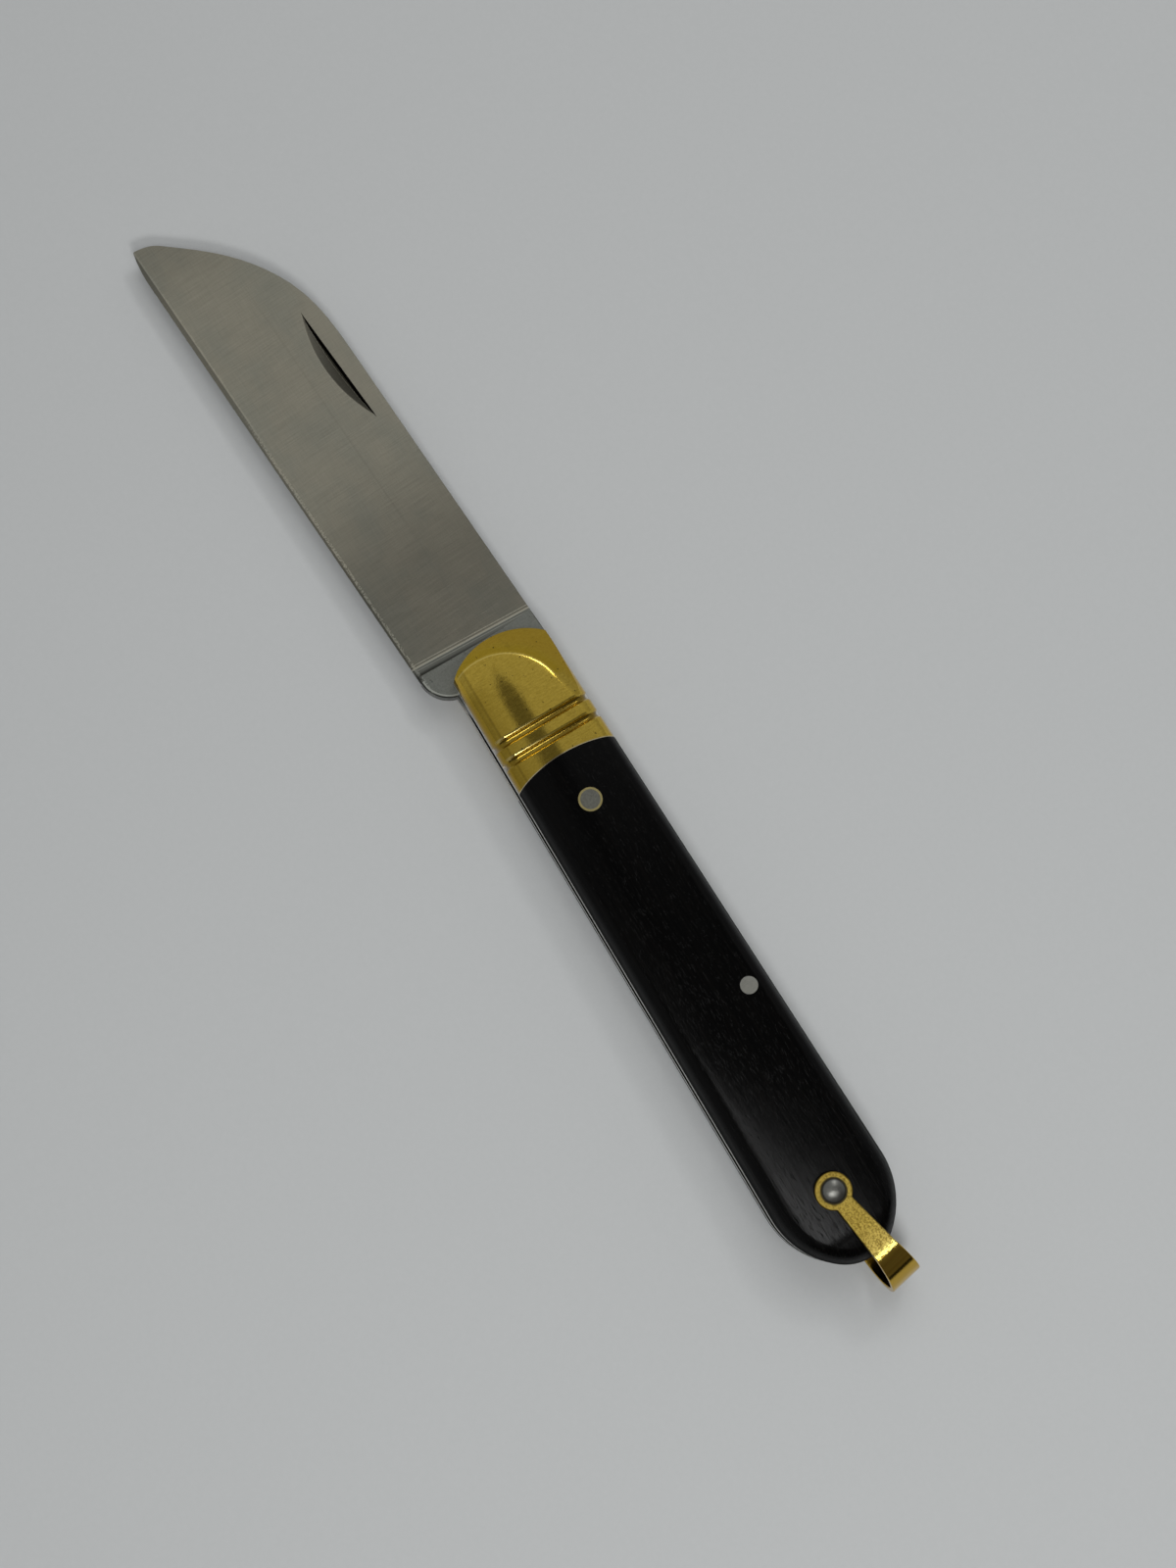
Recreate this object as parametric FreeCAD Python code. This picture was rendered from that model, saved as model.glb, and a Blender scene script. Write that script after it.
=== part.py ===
import FreeCAD, Part
import math
import os

V = FreeCAD.Vector
UP = V(0, 0, 1)
ORIGIN = V(0, 0, 0)

# Frame: the pivot axis is Z, X runs back to the butt, Y to the back of the handle, lengths in millimetres.
# The lower, pile side bolster lies on Z = 0, and the upper side, with the nail nick, is the mark side.

# Handle outline
handle_length = 110.3
handle_front_width = 16.8
handle_widest = 19.3
pivot_to_widest = 79.0
pivot_to_nose = 11.3
pivot_to_belly = 4.6
nose_radius = 12.4
butt_corner_radius = 13.5
butt_end_radius = 7.5

# Layers from one side to the other
blade_thickness = 2.5
blade_side_clearance = 0.05
liner_thickness = 1.0
cover_thickness = 3.2
cover_rounding = 2.4

# Bolster with its two cross grooves, and the curved joint to the scale
bolster_length = 21.5
joint_radius = 22.6
joint_to_groove = 2.8
groove_spacing = 3.15
groove_width = 1.05
groove_depth = 0.42
groove_shoulder = 0.14
pivot_to_nose_flat = 0.6
nose_flat_radius = 9.5
nose_flat_flare = 12.0
nose_slope = 25.0
nose_slope_easing = 1.5
bolster_rivet_diameter = 2.0
bolster_rivet_bite = 1.6
bolster_rivet_shares = [(0.31, 0.45), (0.74, 0.45)]

# Blade, measured along and across its own line
blade_droop = 2.68
blade_reach = 95.0
blade_width = 20.7
pivot_to_edge = 8.05
sheepfoot_length = 35.0
sheepfoot_shares = [(0.457, 0.083), (0.686, 0.303), (0.857, 0.584), (0.944, 0.762)]
tip_curl = 16.0
tip_lift = 0.75
tip_sweep = 6.0
tip_easing = 0.3
spine_easing = 0.15

# Flat grind, cutting edge and nail nick
plunge_setback = 11.5
plunge_lean = 5.0
plunge_radius = 1.75
edge_thickness = 0.6
edge_land = 0.05
edge_bevel = 0.9
nick_setback = 61.6
nick_to_spine = 3.0
nick_turn = 1.6
nick_length = 21.2
nick_depth = 0.8
nick_wall_run = 0.65
nick_width = 2.35

# Tang and heel
tang_reach = 4.0
tang_corner_radius = 1.0
tang_shoulder = 7.5
heel_setback = 11.4
heel_radius = 5.1

# Back spring
spring_tip_gap = 0.1
spring_nose_gap = 0.05
spring_nose_length = 4.6
spring_step_radius = 1.0
kick_gap = 0.15
edge_clearance = 0.6
spring_pin_to_slope = 5.5
spring_slope_length = 14.0

# Pins and rivets
pivot_pin_diameter = 3.2
pivot_pin_clearance = 0.04
pivot_pin_bite = 1.6
pin_proud = 0.04
spring_pin_diameter = 2.75
spring_pin_to_bail_pin = 32.5
spring_pin_inset = 3.6
joint_to_scale_rivet = 8.2
scale_rivet_diameter = 3.1
rivet_ring_diameter = 3.75

# Bail, a bent strap that swings on its pin
butt_to_bail_pin = 11.5
bail_pin_diameter = 2.4
bail_pin_to_edge = 1.9
bail_pin_clearance = 0.05
bail_head_diameter = 3.6
bail_head_rim = 0.15
bail_head_height = 0.6
bail_rest_angle = 10.0
bail_side_gap = 0.12
bail_strap = 0.85
bail_arm_length = 11.3
bail_eye_diameter = 5.8
bail_neck_width = 2.75
bail_bend_width = 4.1
bail_bow_width = 5.6
bail_easing = 0.18

# Extra length that carries a cut clear of the piece, and how near two places count as one
overrun = 2.0
touch = 0.001

# Places that follow from the sizes
slot_width = blade_thickness + 2 * blade_side_clearance
handle_thickness = slot_width + 2 * (liner_thickness + cover_thickness)
middle = handle_thickness / 2
liner_inside = middle + slot_width / 2
liner_outside = liner_inside + liner_thickness
cover_face = liner_outside + cover_thickness
front_half = handle_front_width / 2
side_slope = (handle_widest - handle_front_width) / 2 / pivot_to_widest
axis_y = front_half - pivot_to_belly
butt_x = handle_length - pivot_to_nose
joint_x = bolster_length - pivot_to_nose
pivot_to_spine = blade_width - pivot_to_edge
scale_rivet_spot = V(joint_x + joint_to_scale_rivet, axis_y, 0)
bail_spot = V(butt_x - butt_to_bail_pin, axis_y, 0)

# How far the blade turns until its edge lies along the handle, just clear of the bail pin
bail_direction = math.degrees(math.atan2(bail_spot.y, bail_spot.x))
pivot_to_pin_line = pivot_to_edge + bail_pin_to_edge + bail_pin_diameter / 2
edge_direction = math.degrees(math.acos(pivot_to_pin_line / bail_spot.Length))
closing_angle = 90 + bail_direction + edge_direction - blade_droop


def half_width(x):
    """Half width of the handle at a distance behind the pivot, along its straight sides."""
    return front_half + side_slope * x


spring_pin_x = bail_spot.x - spring_pin_to_bail_pin
spring_pin_spot = V(spring_pin_x, axis_y + half_width(spring_pin_x) - spring_pin_inset, 0)


def turned(point, degrees):
    """A point turned about the pivot axis."""
    return FreeCAD.Rotation(UP, degrees).multVec(point)


def on_blade(along, across):
    """A point given along the blade from the pivot towards the tip, and across it towards the spine."""
    return turned(V(-along, across, 0), blade_droop)


def line(start, end):
    return Part.LineSegment(start, end).toShape()


def polygon(points):
    """The edges of a closed outline of straight lines."""
    return [line(a, b) for a, b in zip(points, points[1:] + points[:1])]


def round_arc(centre, start, end):
    """The shorter arc from start to end about a centre."""
    out = (start - centre) + (end - centre)
    out.normalize()
    return Part.Arc(start, centre + out * (start - centre).Length, end).toShape()


def slab(edges, low, high):
    """A solid between two heights, with an outline in plan."""
    face = Part.Face(Part.Wire(edges))
    face.translate(UP * low)
    return face.extrude(UP * (high - low))


def pillar(spot, diameter, low, high):
    return Part.makeCylinder(diameter / 2, high - low, spot + UP * low, UP)


def upright_edges(shape, points):
    """The upright edges of a slab that stand over the given points."""
    found = []
    for edge in shape.Edges:
        a, b = edge.Vertexes[0].Point, edge.Vertexes[-1].Point
        if abs(a.z - b.z) > touch and any(a.isEqual(V(p.x, p.y, a.z), touch) for p in points):
            found.append(edge)
    return found


def level_edges(shape, height, keep=None):
    """The edges that lie flat at a height, or those of them that a test keeps."""
    flat = [edge for edge in shape.Edges if all(abs(v.Z - height) < touch for v in edge.Vertexes)]
    return [edge for edge in flat if keep is None or keep(edge)]


def to_pile_side(shape):
    return shape.mirror(V(0, 0, middle), UP)


def handle_marks():
    """Corners and tangent points of the handle outline's back half, and its arc centres."""
    axis = V(0, axis_y, 0)
    nose_centre = axis + V(nose_radius - pivot_to_nose, 0, 0)
    slope_angle = math.atan(side_slope)
    # the nose arc meets the straight side where the side's width equals the arc's
    a = 1 + side_slope ** 2
    b = 2 * (side_slope * front_half - nose_centre.x)
    c = nose_centre.x ** 2 + front_half ** 2 - nose_radius ** 2
    corner_x = (-b - math.sqrt(b * b - 4 * a * c)) / (2 * a)
    corner = V(corner_x, half_width(corner_x), 0)
    # the corner arc touches the side and, from inside, the end arc
    end_centre = axis + V(butt_x - butt_end_radius, 0, 0)
    lift = front_half - butt_corner_radius / math.cos(slope_angle)
    b = 2 * (side_slope * lift - end_centre.x)
    c = end_centre.x ** 2 + lift ** 2 - (butt_corner_radius - butt_end_radius) ** 2
    turn_x = (-b - math.sqrt(b * b - 4 * a * c)) / (2 * a)
    turn_centre = axis + V(turn_x, lift + side_slope * turn_x, 0)
    tangent = turn_centre + V(-math.sin(slope_angle), math.cos(slope_angle), 0) * butt_corner_radius
    across = end_centre - turn_centre
    across.normalize()
    joint = end_centre + across * butt_end_radius
    return axis + corner, tangent, turn_centre, joint, end_centre, nose_centre


def to_belly(point):
    return V(point.x, 2 * axis_y - point.y, 0)


def sides_and_butt(start):
    """The outline from a place on the back, round the butt, to the same place on the belly."""
    _, tangent, turn_centre, joint, end_centre, _ = handle_marks()
    return [
        line(start, tangent),
        round_arc(turn_centre, tangent, joint),
        round_arc(end_centre, joint, to_belly(joint)),
        round_arc(to_belly(turn_centre), to_belly(joint), to_belly(tangent)),
        line(to_belly(tangent), to_belly(start)),
    ]


def handle_outline():
    corner, nose_centre = handle_marks()[0], handle_marks()[-1]
    return [round_arc(nose_centre, to_belly(corner), corner)] + sides_and_butt(corner)


def pins_through(shape):
    """The holes that every layer of the handle shares."""
    for spot, diameter in ((spring_pin_spot, spring_pin_diameter), (bail_spot, bail_pin_diameter)):
        shape = shape.cut(pillar(spot, diameter, -overrun, handle_thickness + overrun))
    return shape


def bolster_rivet_spots():
    for along, across in bolster_rivet_shares:
        yield V(along * bolster_length - pivot_to_nose, axis_y + across * front_half, 0)


def liner():
    plate = pins_through(slab(handle_outline(), liner_inside, liner_outside))
    holes = [(ORIGIN, pivot_pin_diameter), (scale_rivet_spot, scale_rivet_diameter)]
    holes += [(spot, bolster_rivet_diameter) for spot in bolster_rivet_spots()]
    for spot, diameter in holes:
        plate = plate.cut(pillar(spot, diameter, liner_inside - overrun, liner_outside + overrun))
    return plate


def long_cover():
    """The cover with its sides run on past the nose, rounded along them and round the butt."""
    lead = -pivot_to_nose - overrun
    front = V(lead, axis_y + half_width(lead), 0)
    block = slab([line(to_belly(front), front)] + sides_and_butt(front), liner_outside, cover_face)
    rounded = level_edges(block, cover_face, lambda edge: any(v.X > lead + touch for v in edge.Vertexes))
    return block.makeFillet(cover_rounding, rounded)


def nose_zone():
    """Everything behind the round front of the nose, wider than the handle."""
    nose_centre = handle_marks()[-1]
    wide = (nose_radius + front_half) / 2
    top = nose_centre + V(-math.sqrt(nose_radius ** 2 - wide ** 2), wide, 0)
    rear = V(butt_x + overrun, axis_y + handle_widest, 0)
    edges = [
        round_arc(nose_centre, to_belly(top), top),
        line(top, rear),
        line(rear, to_belly(rear)),
        line(to_belly(rear), to_belly(top)),
    ]
    return slab(edges, liner_outside, cover_face)


def nose_fall():
    """Everything under the slope from the bolster's flat down to the nose, round a centre near the pivot."""
    centre = V(pivot_to_nose_flat, 0, 0)
    low = liner_outside - overrun
    height = cover_face - low
    foot_radius = nose_flat_radius + height / math.tan(math.radians(nose_slope))
    front = Part.makeCone(foot_radius, nose_flat_radius, height, centre + UP * low, UP)
    far = -handle_length
    foot = [V(0, far, low), V(0, foot_radius, low)]
    section = foot + [V(0, nose_flat_radius, cover_face), V(0, far, cover_face)]
    rear = Part.Face(Part.Wire(polygon(section))).extrude(V(handle_length, 0, 0))
    rear.translate(centre)
    rear.rotate(centre, UP, nose_flat_flare)
    block = front.fuse(rear).removeSplitter()
    turn = centre + turned(V(0, nose_flat_radius, 0), nose_flat_flare) + UP * cover_face
    meets = lambda edge: any(v.Point.isEqual(turn, touch) for v in edge.Vertexes)
    return block.makeFillet(nose_slope_easing, level_edges(block, cover_face, meets))


def cover():
    """Bolster and scale in one, with the rounding that runs over both and the slope of the nose."""
    return long_cover().common(nose_zone()).common(nose_fall())


def scale_zone():
    """Everything behind the curved joint."""
    centre = V(joint_x + joint_radius, axis_y, 0)
    reach = handle_widest / 2 + overrun
    back_off = joint_radius - math.sqrt(joint_radius ** 2 - reach ** 2)
    top = V(joint_x + back_off, axis_y + reach, 0)
    rear_top = V(butt_x + overrun, top.y, 0)
    edges = [
        round_arc(centre, to_belly(top), top),
        line(top, rear_top),
        line(rear_top, to_belly(rear_top)),
        line(to_belly(rear_top), to_belly(top)),
    ]
    return slab(edges, liner_outside - overrun, cover_face + overrun)


def groove(x):
    """A cutter for one cross groove, carried over the crown and down both rounded flanks."""
    half = half_width(x)
    flank = V(x, axis_y + half, liner_outside - overrun)
    shoulder = V(x, axis_y + half, cover_face - cover_rounding)
    crown = V(x, axis_y + half - cover_rounding, cover_face)
    centre = V(x, crown.y, shoulder.z)
    mirror_y = lambda p: V(p.x, 2 * axis_y - p.y, p.z)
    path = Part.Wire([
        line(flank, shoulder),
        round_arc(centre, shoulder, crown),
        line(crown, mirror_y(crown)),
        round_arc(mirror_y(centre), mirror_y(crown), mirror_y(shoulder)),
        line(mirror_y(shoulder), mirror_y(flank)),
    ])
    floor, lip = groove_width / 2, groove_width / 2 + groove_shoulder
    section = [(-lip - groove_shoulder, groove_shoulder), (-floor, -groove_shoulder), (0, -groove_depth)]
    section += [(-a, b) for a, b in reversed(section[:2])]
    rim, shore, deepest, far_shore, far_rim = [flank + V(a, b, 0) for a, b in section]
    hollow = Part.Arc(shore, deepest, far_shore).toShape()
    profile = Part.Wire([line(rim, shore), hollow, line(far_shore, far_rim), line(far_rim, rim)])
    return path.makePipeShell([profile], True, False)


def bolster():
    block = cover().cut(scale_zone())
    last = joint_x - joint_to_groove
    for x in (last - groove_spacing, last):
        block = block.cut(groove(x))
    low = liner_outside - overrun
    block = block.cut(pillar(ORIGIN, pivot_pin_diameter, low, liner_outside + pivot_pin_bite))
    for spot in bolster_rivet_spots():
        block = block.cut(pillar(spot, bolster_rivet_diameter, low, liner_outside + bolster_rivet_bite))
    return block


def scale():
    block = pins_through(cover().common(scale_zone()))
    low, high = liner_outside - overrun, cover_face + overrun
    return block.cut(pillar(scale_rivet_spot, rivet_ring_diameter, low, high))


def scale_rivet():
    return pillar(scale_rivet_spot, scale_rivet_diameter, liner_inside, cover_face + pin_proud)


def rivet_ring():
    ring = pillar(scale_rivet_spot, rivet_ring_diameter, liner_outside, cover_face + pin_proud)
    low, high = liner_outside - overrun, cover_face + overrun
    return ring.cut(pillar(scale_rivet_spot, scale_rivet_diameter, low, high))


def bolster_rivets():
    top = liner_outside + bolster_rivet_bite
    rivets = [pillar(spot, bolster_rivet_diameter, liner_inside, top) for spot in bolster_rivet_spots()]
    return Part.makeCompound(rivets)


def heel_centre():
    return on_blade(heel_setback, heel_radius - pivot_to_edge)


def closed_flat():
    """The tang's flat that lies along the spring when the blade is shut: its line and its outward side."""
    return turned(V(1, 0, 0), -closing_angle) * -1, turned(V(0, 1, 0), -closing_angle)


def tang_marks():
    """Where the heel runs into the closed flat, and the tang's two rear corners and its shoulder."""
    along, outward = closed_flat()
    centre = heel_centre()
    depth = tang_reach - outward.dot(centre)
    heel_end = centre + outward * depth + along * math.sqrt(heel_radius ** 2 - depth ** 2)
    low_corner = V(tang_reach, (tang_reach - outward.x * tang_reach) / outward.y, 0)
    high_corner = V(tang_reach, tang_reach, 0)
    notch = V(-tang_shoulder, tang_reach, 0)
    return heel_end, low_corner, high_corner, notch


def blade_blank():
    """The blade before grinding, at its full thickness, with eased corners."""
    heel_end, low_corner, high_corner, notch = tang_marks()
    lean = math.radians(blade_droop)
    shoulder = V(-tang_shoulder, (pivot_to_spine - tang_shoulder * math.sin(lean)) / math.cos(lean), 0)
    curve_start = on_blade(blade_reach - sheepfoot_length, pivot_to_spine)
    tip = on_blade(blade_reach, tip_lift - pivot_to_edge)
    drop = blade_width - tip_lift
    points = [curve_start]
    for a, b in sheepfoot_shares:
        points.append(on_blade(blade_reach - sheepfoot_length * (1 - a), pivot_to_spine - drop * b))
    tip_run = turned((tip - points[-1]).normalize(), tip_curl)
    curve = Part.BSplineCurve()
    curve.interpolate(points + [tip], InitialTangent=on_blade(1, 0), FinalTangent=tip_run)
    edge_front = on_blade(blade_reach - tip_sweep, -pivot_to_edge)
    tip_radius = (tip_sweep ** 2 + tip_lift ** 2) / (2 * tip_lift)
    edge_rear = on_blade(heel_setback, -pivot_to_edge)
    edges = [
        line(shoulder, curve_start),
        curve.toShape(),
        round_arc(on_blade(blade_reach - tip_sweep, tip_radius - pivot_to_edge), tip, edge_front),
        line(edge_front, edge_rear),
        round_arc(heel_centre(), edge_rear, heel_end),
        line(heel_end, low_corner),
        line(low_corner, high_corner),
        line(high_corner, notch),
        line(notch, shoulder),
    ]
    low = middle - blade_thickness / 2
    blank = slab(edges, low, low + blade_thickness)
    blank = blank.makeFillet(tang_corner_radius, upright_edges(blank, (low_corner, high_corner)))
    blank = blank.makeFillet(tip_easing, upright_edges(blank, (tip,)))
    eased = []
    for height in (low, low + blade_thickness):
        eased += level_edges(blank, height, lambda edge: is_spine_or_heel(edge, curve_start, heel_end))
    return blank.makeChamfer(spine_easing, eased)


def is_spine_or_heel(edge, curve_start, heel_end):
    """The straight spine, its curved front and the round heel, which are eased all along."""
    ends = [V(v.X, v.Y, 0) for v in (edge.Vertexes[0], edge.Vertexes[-1])]
    on_spine = any(end.isEqual(curve_start, touch) for end in ends)
    on_heel = any(end.isEqual(heel_end, touch) for end in ends) and edge.Curve.TypeId == "Part::GeomCircle"
    return on_spine or on_heel


def placed_on_blade(shape):
    """Carries a cutter from the blade's own line to its place, with the blade's mid plane at its height."""
    shape = shape.copy()
    shape.rotate(ORIGIN, UP, blade_droop)
    shape.translate(UP * middle)
    return shape


def grind_cutter():
    """What the flat grind takes off the mark side: a wedge from the edge to nothing at the spine."""
    fall = math.degrees(math.atan((blade_thickness - edge_thickness) / 2 / blade_width))
    lean = math.tan(math.radians(plunge_lean))
    high, low = pivot_to_spine + overrun, -pivot_to_edge - overrun
    far = -blade_reach - overrun
    plunge = [V(low * lean - plunge_setback, low, 0), V(high * lean - plunge_setback, high, 0)]
    block = slab(polygon(plunge + [V(far, high, 0), V(far, low, 0)]), 0, blade_thickness)
    on_plunge = lambda edge: all(any(v.Point.isEqual(p, touch) for p in plunge) for v in edge.Vertexes)
    block = block.makeFillet(plunge_radius, level_edges(block, 0, on_plunge))
    spine = V(0, pivot_to_spine, 0)
    block.rotate(spine, V(1, 0, 0), fall)
    block.translate(UP * (blade_thickness / 2))
    return block


def edge_cutter():
    """What sharpening takes off the mark side: a narrow bevel along the straight edge."""
    length = blade_reach - plunge_setback + overrun
    rise = (edge_thickness - edge_land) / 2
    slope = math.degrees(math.atan(rise / edge_bevel))
    width = edge_bevel + overrun
    block = Part.makeBox(length, width, blade_thickness, V(-length, -overrun, 0))
    block.rotate(ORIGIN, V(1, 0, 0), slope)
    block.translate(V(-plunge_setback, -pivot_to_edge, edge_land / 2))
    return block


def nick_cutter():
    """A tilted disc with a flared rim: its flat side leaves the straight wall, its rim the floor."""
    wall_tilt = math.atan(nick_wall_run / nick_depth)
    wall_height = nick_depth / math.cos(wall_tilt)
    radius = (nick_length / 2) ** 2 / (2 * wall_height)
    face_fall = (blade_thickness - edge_thickness) / 2 / blade_width
    face = blade_thickness / 2 - nick_to_spine * face_fall
    deepest = V(0, -nick_wall_run, face - nick_depth)
    away = V(0, -math.cos(wall_tilt), math.sin(wall_tilt))
    up_wall = V(0, math.sin(wall_tilt), math.cos(wall_tilt))
    run = nick_width - nick_wall_run
    floor = V(0, -run, nick_depth - nick_width * face_fall)
    flare = -floor.dot(up_wall) / floor.dot(away)
    height = nick_width + overrun
    cutter = Part.makeCone(radius, radius + flare * height, height, deepest + up_wall * radius, away)
    cutter.rotate(ORIGIN, UP, nick_turn)
    cutter.translate(V(-nick_setback, pivot_to_spine - nick_to_spine, 0))
    return cutter


def blade():
    shape = blade_blank()
    for cutter in (grind_cutter(), edge_cutter()):
        other = cutter.mirror(ORIGIN, UP)
        shape = shape.cut(placed_on_blade(cutter)).cut(placed_on_blade(other))
    shape = shape.cut(placed_on_blade(nick_cutter()))
    bore = pivot_pin_diameter + 2 * pivot_pin_clearance
    return shape.cut(pillar(ORIGIN, bore, -overrun, handle_thickness + overrun))


def shut(point):
    """A point of the blade as it lies when the blade is shut."""
    return turned(point, closing_angle)


def edge_when_shut(x):
    """Height of the cutting edge over the pivot, at a distance behind it, when the blade is shut."""
    rear, front = shut(on_blade(heel_setback, -pivot_to_edge)), shut(on_blade(blade_reach, -pivot_to_edge))
    return rear.y + (front.y - rear.y) * (x - rear.x) / (front.x - rear.x)


def back_spring():
    """Lies along the back with its nose on the tang, and is held by the spring pin and the bail pin."""
    _, tangent, turn_centre, joint, end_centre, _ = handle_marks()
    tip_x = spring_tip_gap - tang_shoulder
    tip_top = V(tip_x, axis_y + half_width(tip_x), 0)
    nose = tang_reach + spring_nose_gap
    belly = shut(heel_centre()).y + heel_radius + kick_gap
    slope_start = spring_pin_spot.x + spring_pin_to_slope
    tail_x = slope_start + spring_slope_length
    tail = V(tail_x, edge_when_shut(tail_x) + edge_clearance, 0)
    end_rise = edge_when_shut(end_centre.x) + edge_clearance - axis_y
    end = end_centre + V(math.sqrt(butt_end_radius ** 2 - end_rise ** 2), end_rise, 0)
    points = [
        end,
        tail,
        V(slope_start, belly, 0),
        V(spring_nose_length, belly, 0),
        V(spring_nose_length, nose, 0),
        V(tip_x, nose, 0),
        tip_top,
    ]
    edges = [line(a, b) for a, b in zip(points, points[1:])]
    edges.append(line(tip_top, tangent))
    edges += [round_arc(turn_centre, tangent, joint), round_arc(end_centre, joint, end)]
    bar = slab(edges, middle - slot_width / 2, middle + slot_width / 2)
    bar = bar.makeFillet(spring_step_radius, upright_edges(bar, points[3:5]))
    bar = bar.makeFillet(spring_slope_length, upright_edges(bar, points[1:3]))
    return pins_through(bar)


def pivot_pin():
    low, high = cover_thickness - pivot_pin_bite, liner_outside + pivot_pin_bite
    return pillar(ORIGIN, pivot_pin_diameter, low, high)


def spring_pin():
    return pillar(spring_pin_spot, spring_pin_diameter, -pin_proud, cover_face + pin_proud)


def bail_head():
    """A low dome over the bail's eye."""
    base = cover_face + bail_side_gap + bail_strap
    radius = bail_head_diameter / 2
    rise = bail_head_height - bail_head_rim
    dome_radius = (radius ** 2 + rise ** 2) / (2 * rise)
    ball = Part.makeSphere(dome_radius, bail_spot + UP * (base + bail_head_height - dome_radius))
    return pillar(bail_spot, bail_head_diameter, base, base + bail_head_height).common(ball)


def bail_pin():
    head = bail_head()
    low = to_pile_side(head)
    shank = pillar(bail_spot, bail_pin_diameter, low.BoundBox.ZMax, head.BoundBox.ZMin)
    return shank.fuse([head, low]).removeSplitter()


def bail_section(inside, half):
    """The bail from its side: two straight arms joined by a half round bow, out to a half height."""
    reach = bail_eye_diameter / 2 + overrun
    bend = V(bail_arm_length, 0, middle)
    top, low = bend + UP * half, bend - UP * half
    start = V(-reach - inside, 0, 0)
    tops, lows = V(start.x, 0, top.z), V(start.x, 0, low.z)
    bow = Part.Arc(top, bend + V(half, 0, 0), low).toShape()
    return Part.Face(Part.Wire([line(tops, top), bow, line(low, lows), line(lows, tops)]))


def bail():
    """A strap that widens evenly from its eyes to its bow."""
    inner = middle + bail_side_gap
    outer = inner + bail_strap
    side = bail_section(0, outer).cut(bail_section(overrun, inner))
    side.translate(V(0, -bail_bow_width, 0))
    strap = side.extrude(V(0, 2 * bail_bow_width, 0))
    stations = [(0, bail_neck_width), (bail_arm_length, bail_bend_width)]
    stations.append((bail_arm_length + outer, bail_bow_width))
    upper = [V(x, width / 2, 0) for x, width in stations]
    lower = [V(p.x, -p.y, 0) for p in reversed(upper)]
    points = upper + lower
    low, high = middle - outer - overrun, middle + outer + overrun
    plan = slab(polygon(points), low, high)
    plan = plan.fuse(pillar(ORIGIN, bail_eye_diameter, low, high)).removeSplitter()
    shape = strap.common(plan).removeSplitter()
    shape = shape.makeFillet(bail_easing, shape.Edges)
    shape = shape.cut(pillar(ORIGIN, bail_pin_diameter + 2 * bail_pin_clearance, low, high))
    shape.rotate(ORIGIN, UP, bail_rest_angle)
    shape.translate(bail_spot)
    return shape


def export_all():
    os.makedirs("parts", exist_ok=True)
    nodes = {
        "blade": blade(),
        "back_spring": back_spring(),
        "pivot_pin": pivot_pin(),
        "spring_pin": spring_pin(),
        "bail_pin": bail_pin(),
        "bail": bail(),
    }
    sides = {
        "liner": liner(),
        "bolster": bolster(),
        "scale": scale(),
        "scale_rivet": scale_rivet(),
        "rivet_ring": rivet_ring(),
        "bolster_rivets": bolster_rivets(),
    }
    for name, shape in sides.items():
        nodes["mark_side_" + name] = shape
        nodes["pile_side_" + name] = to_pile_side(shape)
    for name, shape in nodes.items():
        box = shape.BoundBox
        print(f"{name}: {len(shape.Solids)} solid, valid {shape.isValid()}, {shape.Volume:.1f} mm3")
        print(f"  {box.XLength:.2f} x {box.YLength:.2f} x {box.ZLength:.2f} mm")
        shape.exportStep(f"parts/{name}.step")


export_all()
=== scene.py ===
# %% [markdown]
# A folding pocket knife with a wide sheepfoot blade, dark wood scales, brass bolsters and a brass bail.
# Its solids are already exact in the CAD frame, down to the nail nick and the cross grooves, so this
# lesson loads them as they are and spends its effort on finishes, light and camera.

# %% load the frame
import bpy
import math
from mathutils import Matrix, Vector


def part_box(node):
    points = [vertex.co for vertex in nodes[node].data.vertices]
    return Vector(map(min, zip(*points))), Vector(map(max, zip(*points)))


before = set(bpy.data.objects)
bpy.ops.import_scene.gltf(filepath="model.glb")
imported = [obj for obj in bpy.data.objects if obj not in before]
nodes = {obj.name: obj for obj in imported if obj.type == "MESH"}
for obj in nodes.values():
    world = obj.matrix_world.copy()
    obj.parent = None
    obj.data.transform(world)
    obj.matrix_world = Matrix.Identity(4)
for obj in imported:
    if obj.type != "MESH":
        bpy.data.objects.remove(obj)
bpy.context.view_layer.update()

# %% [markdown]
# Finishes are node trees, and a node tree soon becomes a long list of links. It could be drawn by hand in
# the shader editor. Here one small class wraps a socket, so that sums on wires read like sums on numbers,
# and its node method adds any other kind of node.

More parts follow.
